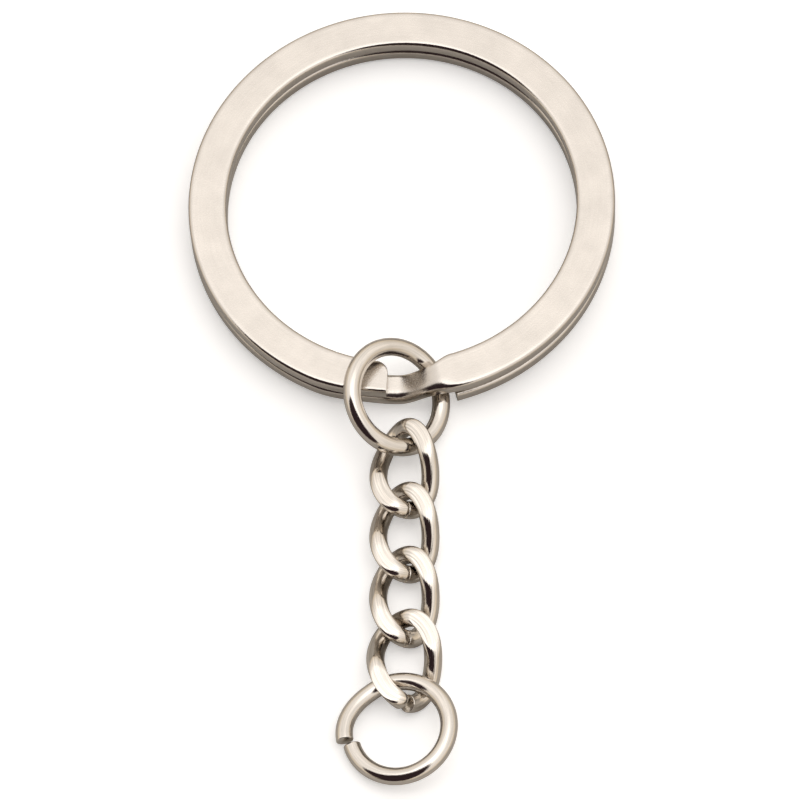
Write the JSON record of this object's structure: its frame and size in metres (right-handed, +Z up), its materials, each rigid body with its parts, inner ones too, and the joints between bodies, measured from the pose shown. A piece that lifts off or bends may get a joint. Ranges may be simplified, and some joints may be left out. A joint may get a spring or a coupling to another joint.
{
  "type": "split key ring with short curb chain",
  "caption": "Flat-wire split key ring with a jump ring, a short twisted curb chain and an open jump ring at its free end.",
  "frame": {"origin": "on the supporting surface, under the middle of the bounding box of the whole assembly as it lies", "axes": "+Z up from the surface the object lies on; the chain runs along -Y away from the split ring; +X to the right"},
  "size_m": [0.03, 0.0576, 0.0052],
  "materials": {
    "flat_nickel": "satin nickel plate, faintly grained flat faces",
    "wire_nickel": "polished nickel plate with fine draw lines"
  },
  "bodies": {
    "split_ring": {"split_ring": "flat_nickel"},
    "connector_ring": {"connector_ring": "wire_nickel"},
    "chain_link_1": {"chain_link_1": "wire_nickel"},
    "chain_link_2": {"chain_link_2": "wire_nickel"},
    "chain_link_3": {"chain_link_3": "wire_nickel"},
    "chain_link_4": {"chain_link_4": "wire_nickel"},
    "end_ring": {"end_ring": "wire_nickel"}
  },
  "joints": [
    {"name": "ring_swing", "type": "hinge", "parent": "split_ring", "child": "connector_ring", "pos_m": [-0.00068, -0.00026, 0.00171], "axis": [0.9205, 0, 0.3907], "range_deg": [-50, 50]},
    {"name": "link_1_swing", "type": "hinge", "parent": "connector_ring", "child": "chain_link_1", "pos_m": [0.00013, -0.00421, 0.00214], "axis": [0.7771, 0, -0.6293], "range_deg": [-45, 45]},
    {"name": "link_2_swing", "type": "hinge", "parent": "chain_link_1", "child": "chain_link_2", "pos_m": [0.00002, -0.00872, 0.00207], "axis": [0.6157, 0, -0.788], "range_deg": [-32, 32]},
    {"name": "link_3_swing", "type": "hinge", "parent": "chain_link_2", "child": "chain_link_3", "pos_m": [0.00019, -0.01333, 0.00181], "axis": [0.5446, 0, -0.8387], "range_deg": [-32, 32]},
    {"name": "link_4_swing", "type": "hinge", "parent": "chain_link_3", "child": "chain_link_4", "pos_m": [0.00032, -0.01697, 0.00121], "axis": [0.866, 0, 0.5], "range_deg": [-50, 45]},
    {"name": "end_ring_swing", "type": "hinge", "parent": "chain_link_4", "child": "end_ring", "pos_m": [0.00046, -0.0217, 0.00114], "axis": [0.9563, 0, 0.2924], "range_deg": [-50, 50]}
  ]
}
